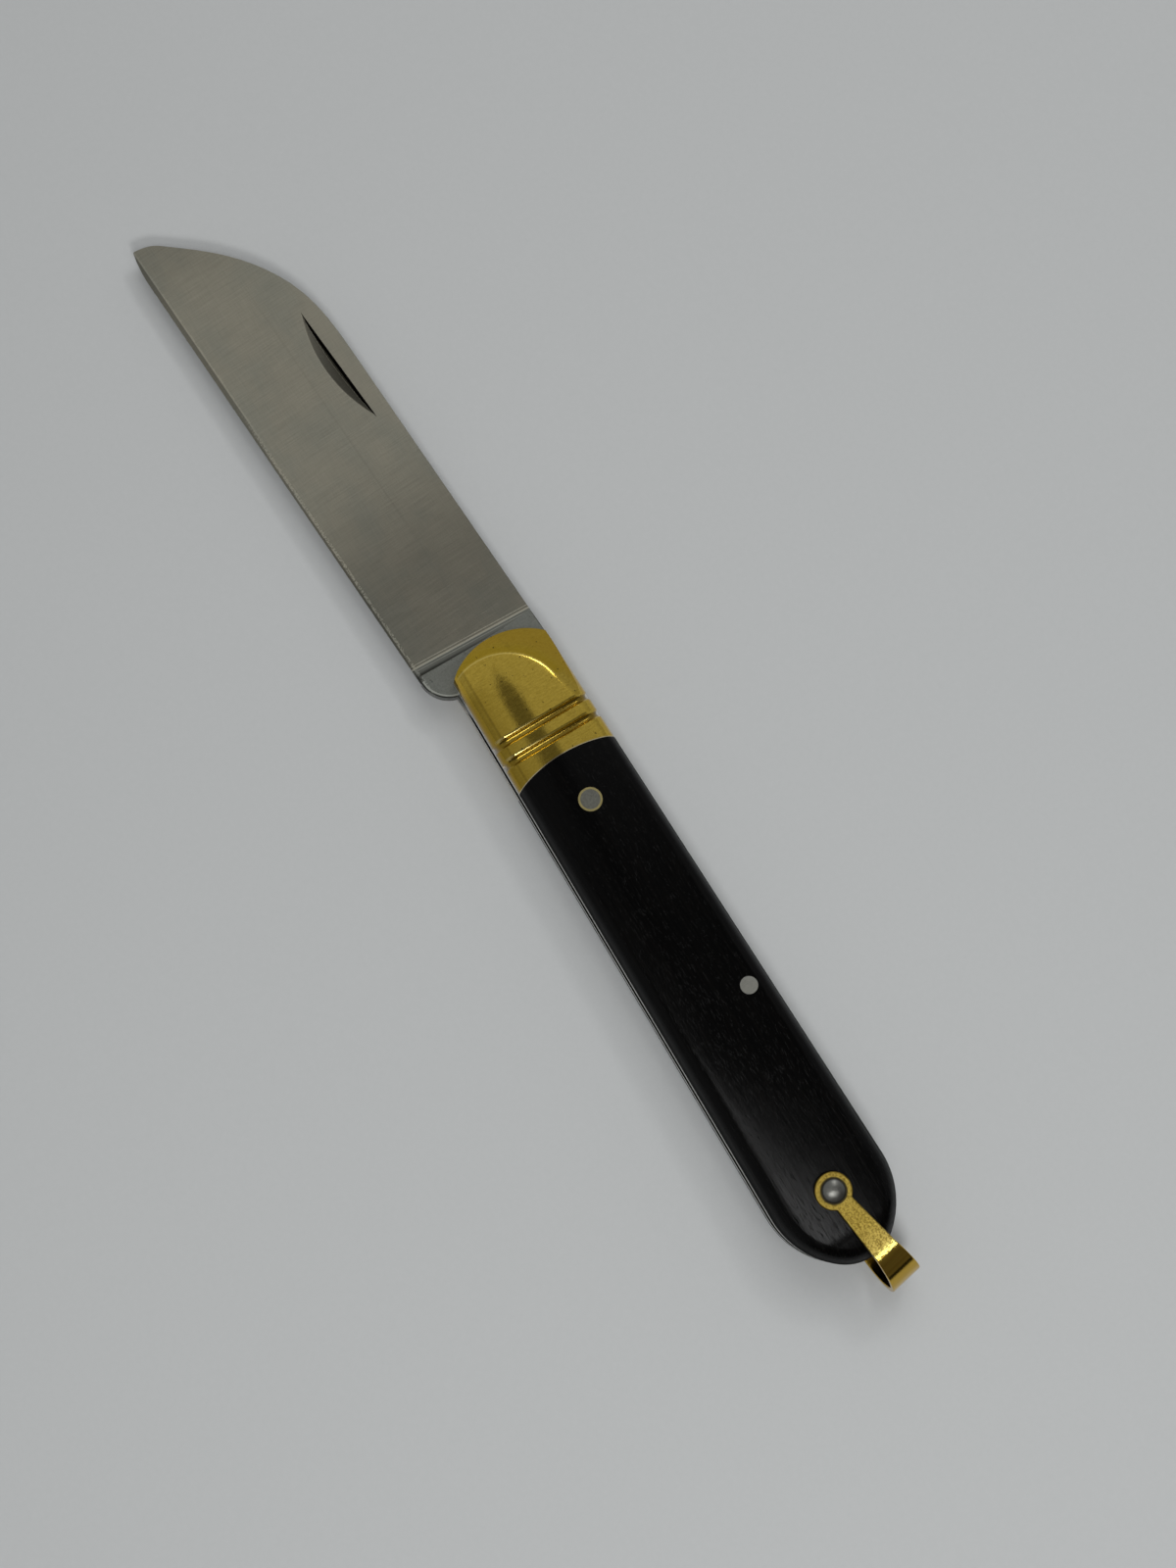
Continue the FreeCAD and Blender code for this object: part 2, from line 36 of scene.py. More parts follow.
# %% wires
class Wire:
    """A socket in a finish. A sum on wires adds the Math nodes that work it out."""

    def __init__(self, tree, socket=None):
        self.tree, self.socket = tree, socket

    def node(self, kind, settings=None, values=None, out=0):
        """Adds a node: its type, then its settings, then the values or wires of its sockets."""
        made = self.tree.nodes.new("ShaderNode" + kind)
        for name, setting in (settings or {}).items():
            setattr(made, name, setting)
        for name, value in (values or {}).items():
            if isinstance(value, Wire):
                self.tree.links.new(value.socket, made.inputs[name])
            else:
                made.inputs[name].default_value = value
        return Wire(self.tree, made.outputs[out] if len(made.outputs) else None)

    def beside(self, out):
        """Another output of the same node."""
        return Wire(self.tree, self.socket.node.outputs[out])

    def sum(self, operation, first, second):
        """Adds one Math node."""
        return self.node("Math", {"operation": operation}, {0: first, 1: second})

    def __add__(self, other):
        return self.sum("ADD", self, other)

    def __radd__(self, other):
        return self.sum("ADD", other, self)

    def __sub__(self, other):
        return self.sum("SUBTRACT", self, other)

    def __rsub__(self, other):
        return self.sum("SUBTRACT", other, self)

    def __mul__(self, other):
        return self.sum("MULTIPLY", self, other)

    def __rmul__(self, other):
        return self.sum("MULTIPLY", other, self)

    def __abs__(self):
        return self.sum("ABSOLUTE", self, 0.0)


def new_finish(name):
    """An empty material, and the wire its nodes start from."""
    material = bpy.data.materials.new(name)
    material.use_nodes = True
    material.node_tree.nodes.clear()
    return material, Wire(material.node_tree)


print("a wire knows", [name for name in vars(Wire) if not name.startswith("__")])

# %% [markdown]
# Every finish needs the same few steps: where a point lies in millimetres, a soft noise, a smooth step
# from one zone to the next, a mix of two colours, and a relief. The frame is in metres, so a point is
# scaled up first. Object coordinates are used, because a CAD node sits at the origin and its pattern
# then stays in place.

# %% steps that all finishes share
millimetres = (1000, 1000, 1000)


def place(wire, turn=0.0):
    """A point in millimetres along, across and up, turned about the pivot axis."""
    spot = wire.node("TexCoord", out="Object")
    spot = wire.node("Mapping", None, {"Vector": spot, "Rotation": (0, 0, turn), "Scale": millimetres})
    x = wire.node("SeparateXYZ", None, {0: spot})
    return x, x.beside(1), x.beside(2)


def fog(x, y, z, detail=2.0, roughness=0.5):
    """Soft noise about one half, one patch to each unit of x, y and z."""
    spot = x.node("CombineXYZ", None, {0: x, 1: y, 2: z})
    values = {"Vector": spot, "Scale": 1.0, "Detail": detail, "Roughness": roughness}
    return x.node("TexNoise", None, values)


def step(value, low, high):
    """A smooth step from 0 at low to 1 at high."""
    settings = {"interpolation_type": "SMOOTHSTEP"}
    return value.node("MapRange", settings, {"Value": value, "From Min": low, "From Max": high})


def band(value, low, high, soft):
    """1 between two lines and 0 outside them, with soft sides."""
    return step(value, low - soft, low + soft) * (1 - step(value, high - soft, high + soft))


def mix(share, first, second):
    """The second colour laid over the first."""
    return share.node("Mix", {"data_type": "RGBA"}, {0: share, 6: first, 7: second}, out=2)


def between(share, first, second):
    """A number on its way from the first to the second."""
    return first + (second - first) * share


def distance(x, y):
    """How far a point lies from the upright line through zero."""
    return x.node("Math", {"operation": "SQRT"}, {0: x * x + y * y})


def crown(off, radius):
    """Height in millimetres of a face that is slightly domed, at a distance off its ridge."""
    return off * off * (-0.5 / radius)


def relief(height, depth):
    """A bump that rises a depth in metres for each unit of height."""
    return height.node("Bump", None, {"Height": height, "Strength": 1.0, "Distance": depth}, out="Normal")


def surface(wire, **sockets):
    """Closes a finish with one shader. Sockets are named as in the shader, with _ for a space."""
    values = {name.replace("_", " "): value for name, value in sockets.items()}
    shader = wire.node("BsdfPrincipled", None, values)
    wire.node("OutputMaterial", None, {"Surface": shader})


def dress(material, *names):
    """Gives CAD nodes a finish."""
    for name in names:
        nodes[name].data.materials.clear()
        nodes[name].data.materials.append(material)
    print(material.name, "on", ", ".join(names))


def both_sides(name):
    """The two nodes of a piece that each side of the handle has."""
    return "mark_side_" + name, "pile_side_" + name


print("finishes are for", len(nodes), "nodes, with points in millimetres")

# %% [markdown]
# The blade is ground flat from spine to edge, so its finest scratches run across it, in the warm grey of
# plain carbon steel. All its zones can be told from one height: how far a point lies above or below the
# ground face. Above it are the plunge, where the grind ends in a round step, and the smooth stretch
# behind. Below it is the nail nick, which was struck; its floor is painted dark as shade, and its steep
# wall towards the spine is painted black as shade.

# %% zones of the blade
blade_droop = math.radians(2.68)
spine, edge, bevel_width = 12.65, -8.05, 0.9
middle, half_thickness, face_fall = 5.5, 1.25, 0.0459
plunge_front, plunge_lean = -13.25, 0.087
nick_spot, nick_lean, wall_steepness = (-61.6, 9.65), 0.028, 1.185
nick_along, nick_across = (-74.0, -49.0), (5.5, 10.3)


def blade_zones(along, across, up):
    """Depth below the ground face, and the shares of the smooth rear, the plunge and the nick."""
    depth = half_thickness - abs(up - middle) - (spine - across) * face_fall
    rear = step(along - across * plunge_lean, plunge_front - 0.1, plunge_front)
    smooth = rear * step(abs(up - middle), half_thickness - 0.03, half_thickness - 0.005)
    sunk = step(depth, 0.004, 0.02) * step(up, middle, middle + 0.2)
    sunk = sunk * band(along, *nick_along, 0.5) * band(across, *nick_across, 0.1)
    return depth, smooth, rear * (1 - smooth), sunk


def nick_zones(depth, along, across, sunk):
    """Shares of the nick's steep wall, of its floor and of the corner between them."""
    off_wall = depth - ((along - nick_spot[0]) * nick_lean - across + nick_spot[1]) * wall_steepness
    wall = step(off_wall, -0.06, -0.02)
    return sunk * wall, sunk * (1 - wall), sunk * band(off_wall, -0.16, -0.05, 0.03)


print("the face falls", round(math.degrees(math.atan(face_fall)), 2), "degrees from spine to edge")

# %% [markdown]
# Bare steel has nearly one colour, and what changes most from place to place is how light it is. So each
# zone gives a tone, and much of it is painted light and shade: the ground face with its scratches, painted
# darker at the tip as shade and darker towards the rear; the bevel at the edge, painted dark as shade near
# the tip with a painted highlight along its top, and lighter with painted glints towards the rear; and the
# plunge, with painted highlights along it and painted shade on its round step. These are multiplied, and
# inside the nick a tone of its own, painted shade with painted light lines, takes their place.

# %% tones of the blade
tip_end, rear_end, rear_edge = (-97.0, -80.0), (-50.0, -24.0), (-66.0, -50.0)
grind_along, grind_across = (-76.0, -32.0), (4.1, 4.4)
plunge_highlights = ((-0.28, 0.0, 1.7), (-0.72, -0.58, 0.9), (0.28, 0.42, 0.6))
heel_spot, heel_radius, heel_top = (-11.4, -2.95), 5.1, (-3.6, -2.6)
nick_front = (-72.0, -58.0)


def ground_tone(along, across, scratch, weave, cloud):
    """The ground face: scratches, a faint line along the grind, painted shade at the tip, darker at the
    rear.
    """
    tone = 0.74 + (scratch - 0.5) * 0.26 + (weave - 0.5) * 0.13 + (cloud - 0.5) * 0.16
    grind_line = band(across, *grind_across, 0.15) * band(along, *grind_along, 8.0)
    # painted shade: the face is darker towards the tip; it is also darker towards the rear
    tip_shade_and_rear = 0.80 + step(along, *tip_end) * 0.20 - step(along, *rear_end) * 0.36
    return tone * (1 - grind_line * 0.07) * tip_shade_and_rear


def edge_tone(along, from_edge, speck):
    """The bevel, painted dark as shade near the tip with a painted highlight along its top and lighter
    with painted glints towards the rear, and painted glints above it, as a share of the face's tone.
    """
    rear_half = step(along, *rear_edge)
    bevel = 1 - step(from_edge, bevel_width - 0.05, bevel_width + 0.03)
    # painted shade: the bevel is dark near the tip, with a painted highlight line along its top
    painted_tip_bevel = 0.62 + step(from_edge, 0.66, 0.74) * 0.65
    thin = 1 - step(from_edge, 0.30, 0.42)
    # painted glints on the bevel towards the rear, where it is lighter and darker at its very edge
    painted_glints = band(from_edge, 0.35, 0.80, 0.1) * step(speck, 0.42, 0.56)
    painted_bevel = between(rear_half, painted_tip_bevel, 0.95 - thin * 0.35 + painted_glints * 0.9)
    # painted glints just above the bevel near the tip
    painted_top_glints = band(from_edge, bevel_width, bevel_width + 0.08, 0.06) * step(speck, 0.45, 0.60)
    return between(bevel, 1.0, painted_bevel) * (1 + painted_top_glints * (1 - rear_half) * 0.35)


def rear_tone(along, across, up, smooth, plunge, speck):
    """The plunge with painted highlights along it and painted shade on its round step, the rubbed rear,
    and its round heel with a painted highlight inside its darker rim, as a share.
    """
    behind = along - across * plunge_lean - plunge_front
    # painted highlights along the plunge
    painted_lines = sum((band(behind, low, high, 0.05) * light for low, high, light in plunge_highlights), 0.0)
    painted_lines = painted_lines * (0.35 + speck * 1.3) * (1 - smooth)
    # painted shade on the plunge's round step
    stripe = fog(behind * 4.0, across * 0.2, up * 0.3, 2.0)
    tone = (1 + painted_lines) * (1 - plunge * (stripe * 0.25 + step(behind, 0.7, 1.2) * 0.4))
    rub = fog(along * 1.2 + across * 3.0, across * 1.2 - along * 3.0, up, 4.0, 0.7)
    stain = step(fog(along * 1.3, across * 1.3, up * 1.3, 1.0), 0.74, 0.78)
    tone = tone * (1 + smooth * (rub - 0.5) * 0.7) * (1 - stain * smooth * 0.4)
    from_heel = distance(along - heel_spot[0], across - heel_spot[1]) - heel_radius
    heel = smooth * (1 - step(across, *heel_top))
    # a painted highlight just inside the heel's rim, and the rim darker
    tone = tone * (1 + heel * band(from_heel, -0.46, -0.26, 0.05) * speck * 3.6)
    return tone * (1 - heel * step(from_heel, -0.24, -0.16) * 0.5)


def painted_nick_shade(tone, depth, along, speck, wall, bottom, corner):
    """The face's tone, or inside the nick painted shade: grey on its floor, lighter towards the tip end,
    and black on its wall, with painted light lines in the corner and where the wall is deepest.
    """
    # painted shade inside the nick: its floor grey, lighter towards the tip end, with a painted light line
    # in the corner
    grey = 0.17 + (1 - step(along, *nick_front)) * 0.17 + (speck - 0.5) * 0.06
    grey = grey + corner * step(depth, 0.12, 0.30) * 0.22
    tone = between(bottom * step(depth, 0.0, 0.14), tone, grey)
    # painted shade: the nick's wall black, with a painted light line where it is deepest
    return between(wall, tone, 0.008 + step(depth, 0.44, 0.58) * 0.26)


print("the bevel wears from fresh to rubbed between", rear_edge, "mm")

# %% blade steel
def blade_steel():
    """Cross-scratched carbon steel."""
    material, wire = new_finish("blade_steel")
    along, across, up = place(wire, -blade_droop)
    depth, smooth, plunge, sunk = blade_zones(along, across, up)
    wall, bottom, corner = nick_zones(depth, along, across, sunk)
    scratch = fog(along * 5.0, across * 0.18, up * 0.3, 4.0, 0.6)
    weave = fog(along * 0.35, across * 4.2, up * 0.3, 3.0, 0.6)
    cloud = fog(along * 0.12, across * 0.18, up * 0.1, 3.0)
    speck = fog(along * 4.0, across * 4.0, up * 4.0, 2.0)

    from_edge = across - edge
    tone = ground_tone(along, across, scratch, weave, cloud) * edge_tone(along, from_edge, speck)
    tone = tone * rear_tone(along, across, up, smooth, plunge, speck)
    tone = painted_nick_shade(tone, depth, along, speck, wall, bottom, corner)

    brown = step(cloud + weave * 0.3 + step(from_edge, 1.0, 9.0) * 0.12, 0.50, 0.88)
    warm = mix(brown, (0.540, 0.526, 0.430, 1), (0.562, 0.528, 0.420, 1))
    grey = mix(smooth, mix(plunge, warm, (0.50, 0.505, 0.44, 1)), (0.49, 0.505, 0.45, 1))
    steel = mix(tone, (0, 0, 0, 1), grey)
    rough = 0.27 + scratch * 0.12 + smooth * 0.05 + (wall + bottom) * 0.2
    height = (scratch + weave * 0.25) * (1 - smooth * 0.7)
    surface(wire, Base_Color=steel, Metallic=1.0, Roughness=rough, Normal=relief(height, 0.000022))
    return material


dress(blade_steel(), "blade")

# %% [markdown]
# The bolsters are polished brass that has been carried for years. Buffing has left the flat very slightly
# domed, which stretches reflections along it, and has rolled the lips of the grooves, so the relief holds
# both as well as the scratches. The alternative would be to bend the mesh, but a CAD node stays as it is.
# Brown dirt stays in the grooves, with painted shade added in their back half, a few pits are scattered
# about, and the belly side is darker. Painted shade gives the rounded sides and the nose slope a deeper
# amber, and painted highlights lie along the crease, on the lips of the grooves in the belly half and
# along the edge at the joint.

# %% zones of the bolster
axis_y, groove_places = 3.8, (4.25, 7.4)
joint_centre_x, joint_radius = 32.8, 22.6
crease_x, crease_radius = 0.6, 9.43
face_radius, nose_x, nose_radius, roll_depth = 42.0, 1.0, 125.0, 0.070
groove_half, groove_lip, rim_half = 0.42, (-0.95, -0.50), 0.75
nose_end, belly_side, belly_front = (-1.6, -0.4), (-4.6, 2.0), (-7.0, -3.0)


def at_grooves(x, low, high, soft):
    """1 between two lines beside the middle of each groove, with soft sides."""
    return sum((band(x, groove_x + low, groove_x + high, soft) for groove_x in groove_places), 0.0)


def bolster_dome(x, y, side):
    """Height in millimetres of the buffed face, which rolls over ahead of each groove."""
    nose = (x - nose_x) * step(nose_x - x, 0.0, 3.0)
    roll = sum((step(x, groove_x - 1.0, groove_x - 0.45) for groove_x in groove_places), 0.0)
    roll = roll * (1 - side) * (1 - step(y, 0.0, 7.0) * 0.7)
    return crown(y - axis_y, face_radius) + crown(nose, nose_radius) - roll * roll_depth


print("grooves at", groove_places, "mm behind the pivot")

# %% bolster brass
def bolster_brass():
    """Worn polished brass."""
    material, wire = new_finish("bolster_brass")
    x, y, z = place(wire)
    fine = fog(x * 4.0, y * 0.8, z * 3.0, 3.0)
    cross = fog(x * 0.9 + y * 2.4, y * 0.9 - x * 2.4, z * 2.0, 3.0)
    swirl = fog(x * 2.6, y * 2.6, z * 2.6, 4.0, 0.7)
    grain = fog(x * 7.0, y * 7.0, z * 7.0, 3.0, 0.6)
    tarnish = fog(x * 0.30, y * 0.30, z * 0.30, 4.0, 0.6)
    pit = step(fog(x * 1.6, y * 1.6, z * 1.6, 1.0), 0.735, 0.76)

    side = 1 - step(abs(z - middle), 4.4, 5.2)
    belly = (1 - step(y, *belly_side)) * step(x, *belly_front)
    back_half = step(y, 0.0, 6.0)
    ahead = (1 - side) * (1 - step(x, *nose_end))
    past_crease = distance(x - crease_x, y) - crease_radius
    nose_slope_shade = step(past_crease, 0.0, 0.4) * ahead
    crease_highlight = (1 - step(abs(past_crease), 0.02, 0.18)) * ahead
    groove_dirt_and_shade = at_grooves(x, -groove_half, groove_half, 0.08) * (0.15 + back_half * 0.4 + swirl * 0.5)
    lip_highlights = at_grooves(x, *groove_lip, 0.1) * (1 - side) * (1 - back_half)
    joint_highlight = 1 - step(distance(x - joint_centre_x, y - axis_y) - joint_radius, 0.06, 0.16)

    buffed = step(fine * 0.4 + grain * 0.35 + cross * 0.25, 0.32, 0.68)
    brown = step(tarnish, 0.52, 0.80) * 0.30 + (swirl - 0.5) * 1.15
    brass = mix(buffed, (0.51, 0.350, 0.046, 1), (0.73, 0.525, 0.089, 1))
    # painted shade: the rounded sides are a deeper amber
    brass = mix(side * 0.6, brass, (0.60, 0.375, 0.030, 1))
    brass = mix(belly * 0.6, brass, (0.25, 0.16, 0.012, 1))
    # painted shade: the nose slope is a deeper amber
    brass = mix(nose_slope_shade * 0.7, brass, (0.58, 0.385, 0.022, 1))
    brass = mix(brown, brass, (0.36, 0.245, 0.040, 1))
    # brown dirt in the grooves, with painted shade added in their back half
    brass = mix(groove_dirt_and_shade, brass, (0.20, 0.125, 0.020, 1))
    brass = mix(pit * 0.8, brass, (0.08, 0.05, 0.015, 1))
    # painted highlights along the crease, on the groove lips in the belly half and along the edge at the
    # joint
    brass = mix(crease_highlight * 0.6, brass, (0.92, 0.72, 0.22, 1))
    brass = mix(lip_highlights * 0.4, brass, (0.80, 0.68, 0.32, 1))
    brass = mix(joint_highlight * 0.7, brass, (0.80, 0.74, 0.58, 1))

    rough = 0.06 + fine * 0.04 + cross * 0.03 + at_grooves(x, -rim_half, rim_half, 0.15) * 0.14
    rough = rough + (1 - step(abs(past_crease), 0.2, 0.9)) * ahead * 0.10
    scratches = fine * 0.0006 + cross * 0.0020 + swirl * 0.0030
    bumps = relief(bolster_dome(x, y, side) + scratches, 0.001)
    surface(wire, Base_Color=brass, Metallic=1.0, Roughness=rough, Normal=bumps)
    return material


dress(bolster_brass(), *both_sides("bolster"))

# %% [markdown]
# The scales are a near-black wood, oiled and buffed. Its grain shows as fine brown lines along the handle
# and as short pores that catch the light, so colour, gloss and relief all come from noise stretched along
# X. Hands have rubbed the front smooth, and the grain stays open towards the butt. The face is domed like
# the bolster's, with rounder shoulders at the belly and the butt, where the sheen turns.

# %% scale wood
butt_rise_x, butt_rise, butt_radius = 80.0, (77.0, 84.0), 240.0
belly_shoulder_y, butt_shoulder_x, shoulder_radius = -1.0, 92.0, 30.0
grain_opens = (60.0, 85.0)


def scale_dome(x, y):
    """Height in millimetres of the wood's face."""
    butt = step(x, *butt_rise) * (x - butt_rise_x)
    low = (y - belly_shoulder_y) * step(belly_shoulder_y - y, 0.0, 3.0)
    end = (x - butt_shoulder_x) * step(x, butt_shoulder_x, butt_shoulder_x + 3.0)
    dome = crown(y - axis_y, face_radius) + crown(butt, butt_radius)
    return dome + crown(low, shoulder_radius) + crown(end, shoulder_radius)


def scale_wood():
    """Near-black oiled wood."""
    material, wire = new_finish("scale_wood")
    x, y, z = place(wire)
    bend = fog(x * 0.05, y * 0.12, z * 0.12, 2.0)
    line = fog(x * 0.10, y * 3.6 + bend * 6.0, z * 3.6, 4.0, 0.6)
    pore = step(fog(x * 0.55, y * 9.0 + bend * 12.0, z * 9.0, 2.0), 0.60, 0.72)
    wood = mix(step(line, 0.40, 0.75), (0.0002, 0.0002, 0.0002, 1), (0.0011, 0.0009, 0.0007, 1))
    wood = mix(pore * 0.5, wood, (0.0026, 0.0024, 0.0022, 1))
    side = 1 - step(abs(z - middle), 3.4, 5.0)
    open_grain = 0.3 + step(x, *grain_opens) * 0.7
    rough = 0.12 + open_grain * 0.12 + side * 0.65
    rough = rough + ((line - 0.5) * 0.30 + pore * 0.18) * open_grain
    bumps = relief(scale_dome(x, y) + (line * 0.026 - pore * 0.018) * open_grain, 0.001)
    surface(wire, Base_Color=wood, Roughness=rough, Specular_IOR_Level=0.13, Normal=bumps)
    return material


dress(scale_wood(), *both_sides("scale"))

# %% [markdown]
# The bail is brass strip that was blanked, tumbled and bent. Tumbling leaves the flat arms satin, with
# countless tiny specks that have no direction, and a painted sheen makes them lighter towards the bend.
# Bending over a polished tool leaves the bow shiny, with an uneven border that catches the light and
# carries a painted highlight. The gap round the pin head is painted dark as shade. Distances along and
# across the arm and from its pin tell these zones apart.

# %% bail brass
pin_spot, bail_turn, arm_end = (87.5, 3.8), math.radians(10.0), 12.1
head_gap, eye_rim, eye_front = (1.65, 2.08), (2.50, 2.90), (1.6, 2.6)
arm_brightens, arm_polish = (6.0, 12.0), (10.6, 11.7)


def bail_brass():
    """Satin brass with a polished bow, a painted sheen and highlight, and painted shade round the pin
    head.
    """
    material, wire = new_finish("bail_brass")
    x, y, z = place(wire)
    speck = fog(x * 3.4, y * 3.4, z * 3.4, 4.0, 0.75)
    patch = fog(x * 0.5, y * 0.5, z * 0.5, 3.0)
    jag = fog(x * 1.4, y * 1.4, z * 1.4, 2.0)
    reach = (x - pin_spot[0]) * math.cos(bail_turn) + (y - pin_spot[1]) * math.sin(bail_turn)
    aside = (y - pin_spot[1]) * math.cos(bail_turn) - (x - pin_spot[0]) * math.sin(bail_turn)
    away = distance(x - pin_spot[0], y - pin_spot[1])
    border = reach + (jag - 0.5) * 2.0 + (speck - 0.5) * 0.6
    bow = step(border, arm_end - 0.15, arm_end + 0.15)
    bend_highlight = band(border, arm_end - 0.9, arm_end - 0.1, 0.2)
    streak = fog(reach * 2.2, aside * 0.12, z * 0.3, 2.0)
    brass = mix(step(speck, 0.33, 0.67), (0.145, 0.095, 0.014, 1), (0.43, 0.318, 0.066, 1))
    # painted sheen: the arms grow lighter towards the bend
    arm_sheen = step(reach, *arm_brightens) * step(speck, 0.38, 0.60)
    brass = mix(arm_sheen * 0.6, brass, (0.66, 0.51, 0.15, 1))
    rim = step(away, *eye_rim) * (1 - step(reach, *eye_front))
    brass = mix(rim * 0.6, brass, (0.20, 0.125, 0.020, 1))
    brass = mix(step(patch, 0.55, 0.85) * 0.4, brass, (0.26, 0.18, 0.04, 1))
    # painted shade in the gap round the pin head
    brass = mix(band(away, *head_gap, 0.09) * (1 - bow), brass, (0.035, 0.028, 0.014, 1))
    # painted highlight along the uneven border of the bow
    brass = mix(bend_highlight * 0.6, brass, (0.95, 0.82, 0.22, 1))
    brass = mix(bow, brass, mix(streak, (0.46, 0.28, 0.035, 1), (0.74, 0.51, 0.090, 1)))
    satin = between(step(reach, *arm_polish), 0.26 + speck * 0.16, 0.12 + speck * 0.06)
    rough = between(bow, satin, 0.08 + speck * 0.05)
    bumps = relief(speck * (1 - bow * 0.85), 0.000020)
    surface(wire, Base_Color=brass, Metallic=1.0, Roughness=rough, Normal=bumps)
    return material


dress(bail_brass(), "bail")

# %% [markdown]
# A thin brass ring sits round each rivet of the scales. It is duller and paler than the bolsters, as if it
# was filed flush with the wood and not buffed by itself, so a fine speckle is enough.

# %% ring brass
def ring_brass():
    """Dull filed brass."""
    material, wire = new_finish("ring_brass")
    x, y, z = place(wire)
    speck = fog(x * 5.0, y * 5.0, z * 5.0, 3.0)
    brass = mix(speck, (0.40, 0.33, 0.13, 1), (0.54, 0.46, 0.21, 1))
    rough = 0.25 + speck * 0.15
    surface(wire, Base_Color=brass, Metallic=1.0, Roughness=rough, Normal=relief(speck, 0.000006))
    return material


dress(ring_brass(), *both_sides("rivet_ring"))

# %% [markdown]
# Pins and rivets are steel wire, filed flush and worn. Liners and spring are plain satin plates that show
# little more than their edges. They differ in tone and in the direction of their scratches, so one recipe
# serves them all. Some have a zone painted dark as shade: the rim of the bail pin's peened heads, and the
# faces of the liners and the spring inside the slot for the blade.

# %% plain steels
shade_steel = (0.018, 0.018, 0.015, 1)
rim_radii, liner_edge = (1.52, 1.80), (1.335, 2.325)
spring_back, slot_end = (10.8, 11.3), (82.0, 86.0)


def plain_steel(name, dark, light, grain, gloss, shade_zone=None):
    """A steel with scratches so many to the millimetre along, across and up, and perhaps a zone painted
    dark as shade.
    """
    material, wire = new_finish(name)
    x, y, z = place(wire)
    scratch = fog(x * grain[0], y * grain[1], z * grain[2], 3.0)
    stain = fog(x * 0.6, y * 0.6, z * 0.6, 3.0, 0.6)
    steel = mix(scratch * 0.6 + stain * 0.4, dark, light)
    if shade_zone:
        # painted shade: a zone painted dark as shade
        steel = mix(shade_zone(x, y, z), steel, shade_steel)
    rough = gloss + scratch * 0.18
    surface(wire, Base_Color=steel, Metallic=1.0, Roughness=rough, Normal=relief(scratch, 0.000008))
    return material


def head_rim_shade(x, y, z):
    """The rim of the bail pin's heads, painted dark as shade."""
    return step(distance(x - pin_spot[0], y - pin_spot[1]), *rim_radii) * 0.9


def slot_face_shade(x, y, z):
    """A liner's face towards the slot, and not its edge, painted dark as shade."""
    return 1 - band(abs(z - middle), *liner_edge, 0.025)


def spring_inside_shade(x, y, z):
    """The spring below its back, as far as the slot goes, painted dark as shade."""
    return (1 - step(y, *spring_back)) * (1 - step(x, *slot_end))


print("the heads of the bail pin darken from", rim_radii[0], "to", rim_radii[1], "mm off their middle")

# %% steels on the pins, liners and spring
rivet_steel = plain_steel("rivet_steel", (0.06, 0.06, 0.05, 1), (0.27, 0.27, 0.235, 1),
                          (3.0, 3.0, 3.0), 0.36)
pin_steel = plain_steel("pin_steel", (0.17, 0.17, 0.15, 1), (0.33, 0.33, 0.295, 1),
                        (5.0, 2.0, 3.0), 0.32)
peened_steel = plain_steel("peened_steel", (0.11, 0.11, 0.099, 1), (0.27, 0.27, 0.249, 1),
                           (7.0, 7.0, 7.0), 0.24, head_rim_shade)
liner_steel = plain_steel("liner_steel", (0.58, 0.58, 0.56, 1), (0.80, 0.80, 0.78, 1),
                          (0.4, 5.0, 5.0), 0.40, slot_face_shade)
spring_steel = plain_steel("spring_steel", (0.30, 0.30, 0.28, 1), (0.46, 0.46, 0.43, 1),
                           (0.4, 5.0, 5.0), 0.34, spring_inside_shade)
dress(rivet_steel, *both_sides("scale_rivet"), *both_sides("bolster_rivets"))
dress(pin_steel, "spring_pin", "pivot_pin")
dress(peened_steel, "bail_pin")
dress(liner_steel, *both_sides("liner"))
dress(spring_steel, "back_spring")

# %% [markdown]
# The knife lies on a plain pale surface. It rests on the lower head of the bail pin and on the front of
# the lower bolster, so the floor leans by about a degree against the frame. Far away, the camera sees the
# floor fade into the plain colour of the backdrop, so that no edge shows from the side.

# %% floor
floor_size, nose_to_rest = 3.0, 0.0027
pin_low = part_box("bail_pin")[0].z
pin_x = sum(corner.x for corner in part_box("bail_pin")) / 2
front_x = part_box("pile_side_bolster")[0].x + nose_to_rest
lean = pin_low / (pin_x - front_x)

bpy.ops.object.select_all(action="DESELECT")
bpy.ops.mesh.primitive_grid_add(x_subdivisions=8, y_subdivisions=8, size=floor_size)
floor = bpy.context.object
floor.name = "floor"
for corner in floor.data.vertices:
    corner.co.z = lean * (corner.co.x - front_x)
print("floor leans", round(math.degrees(math.atan(lean)), 2), "degrees")

# %% floor finish
backdrop = (0.41, 0.418, 0.419, 1)
fade = (350.0, 1300.0)


def floor_grey():
    """Plain pale grey that gives way to the backdrop far away."""
    material, wire = new_finish("floor_grey")
    x, y, z = place(wire)
    paper = fog(x * 1.2, y * 1.2, z, 3.0)
    grey = mix(paper, (0.400, 0.410, 0.411, 1), (0.420, 0.430, 0.431, 1))
    far = step(distance(x, y), *fade) * wire.node("LightPath", out="Is Camera Ray")
    plain = {"Base Color": grey, "Roughness": 0.7, "Specular IOR Level": 0.2}
    near = wire.node("BsdfPrincipled", None, plain)
    beyond = wire.node("Emission", None, {"Color": backdrop, "Strength": 1.0})
    shade = wire.node("MixShader", None, {0: far, 1: near, 2: beyond})
    wire.node("OutputMaterial", None, {"Surface": shade})
    return material


floor.data.materials.append(floor_grey())
print("floor fades into the backdrop between", fade, "mm from the pivot")

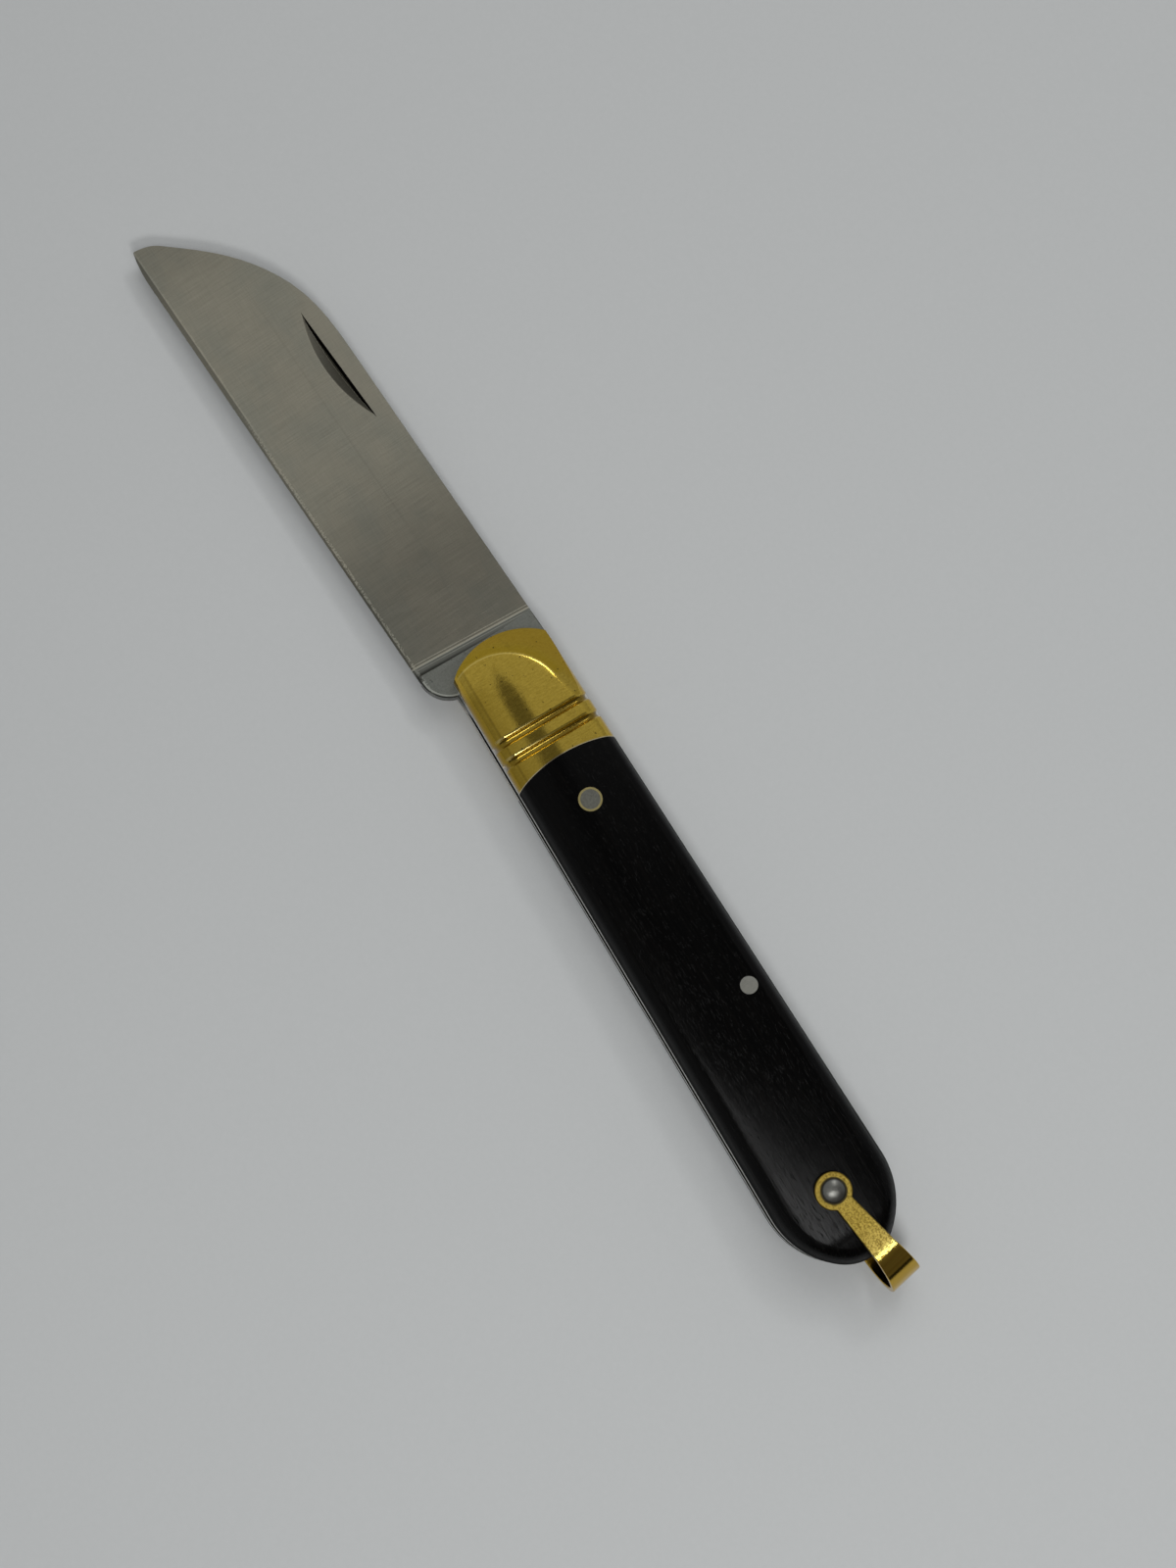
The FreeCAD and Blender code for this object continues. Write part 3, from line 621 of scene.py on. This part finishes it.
# %% [markdown]
# The room is a pale box, as a light tent is. Metal is only as lively as what it reflects, so the room has
# a few darker things: a ceiling that dims towards the butt, a bar overhead where the camera hangs, a faint
# shade beside the belly, and an open side beyond the butt with a black sill. The camera itself sees only
# the plain backdrop.

# %% room
def room():
    """A pale world with a few darker things in it, told apart by their direction."""
    world = bpy.data.worlds.new("room")
    world.use_nodes = True
    world.node_tree.nodes.clear()
    bpy.context.scene.world = world
    wire = Wire(world.node_tree)
    x = wire.node("SeparateXYZ", None, {0: wire.node("TexCoord", out="Generated")})
    y, z = x.beside(1), x.beside(2)
    air = mix(step(z, 0.2, 0.8), (0.33, 0.335, 0.34, 1), (0.42, 0.425, 0.425, 1))
    dim = step(x, -0.12, -0.09) * step(z, 0.6, 0.75)
    bar_width = step(x, -0.30, -0.20) * 0.088 - 0.015
    bar = 1 - step(abs(y - 0.028) - bar_width, -0.012, 0.012)
    bar = bar * (1 - step(x, -0.02, 0.04)) * step(z, 0.5, 0.6)
    shade = band(y, -0.80, -0.57, 0.08) * step(z, 0.2, 0.3)
    open_side = step(x, 0.40, 0.46) * band(z, 0.22, 0.94, 0.02)
    sill = step(x, 0.40, 0.46) * band(z, 0.02, 0.22, 0.02)
    air = mix(dim, air, (0.15, 0.15, 0.15, 1))
    air = mix(bar, air, (0.115, 0.115, 0.118, 1))
    air = mix(shade, air, (0.29, 0.29, 0.29, 1))
    air = mix(open_side, air, (0.09, 0.085, 0.08, 1))
    air = mix(sill, air, (0.015, 0.015, 0.015, 1))
    air = mix(wire.node("LightPath", out="Is Camera Ray"), air, backdrop)
    sky = wire.node("Background", None, {"Color": air, "Strength": 1.0})
    wire.node("OutputWorld", None, {"Surface": sky})


room()
print("room", bpy.context.scene.world.name)

# %% [markdown]
# Five lamps light the knife, all of them panels that look down. A long one, a little towards the butt and
# the belly, puts the sheen on the wood. A small one beyond the butt lights the bend of the bail, and one
# behind the back puts a spark on the crease of the bolster. The key lamp beyond the butt and the wide fill
# lamp on the other side light the floor and set the shadows. Those two are left out of reflections, or the
# polished metal would show them as white squares.

# %% lamps
def lamp(name, spot, size, turn, power, mirrored=True):
    """A soft panel that looks down, turned about the upright."""
    bpy.ops.object.light_add(type="AREA", location=spot, rotation=(0, 0, math.radians(turn)))
    made = bpy.context.object
    made.name = name
    made.data.shape = "RECTANGLE"
    made.data.size, made.data.size_y = size
    made.data.energy = power
    made.visible_glossy = mirrored
    print(name, "at", [round(c, 2) for c in spot])


lamp("strip_lamp", (0.21, -0.10, 0.63), (0.26, 0.10), 58.4, 0.72)
lamp("bend_lamp", (0.26, 0.10, 0.63), (0.09, 0.09), 0.0, 0.20)
lamp("spark_lamp", (-0.22, 0.36, 0.56), (0.11, 0.11), 0.0, 0.45)
lamp("key_lamp", (0.40, -0.11, 0.60), (0.14, 0.14), 0.0, 2.3, mirrored=False)
lamp("fill_lamp", (-0.26, 0.22, 0.62), (0.50, 0.50), 0.0, 1.7, mirrored=False)

# %% [markdown]
# The camera looks almost straight down, from a little towards the butt and the belly, with the knife laid
# diagonally across a tall frame.

# %% camera
camera_spot, camera_angles = (0.05493, -0.04435, 0.36428), (9.416, -3.481, 58.378)
lens_length, sensor_width = 54.0, 36.0
bpy.ops.object.camera_add(location=camera_spot)
camera = bpy.context.object
camera.rotation_euler = [math.radians(angle) for angle in camera_angles]
camera.data.lens, camera.data.sensor_width = lens_length, sensor_width
bpy.context.scene.camera = camera
bpy.context.scene.view_settings.view_transform = "Standard"
print("camera", round(camera.location.z * 1000), "mm above the lower bolster's flat")

# %% [markdown]
# The finishes add no shape.
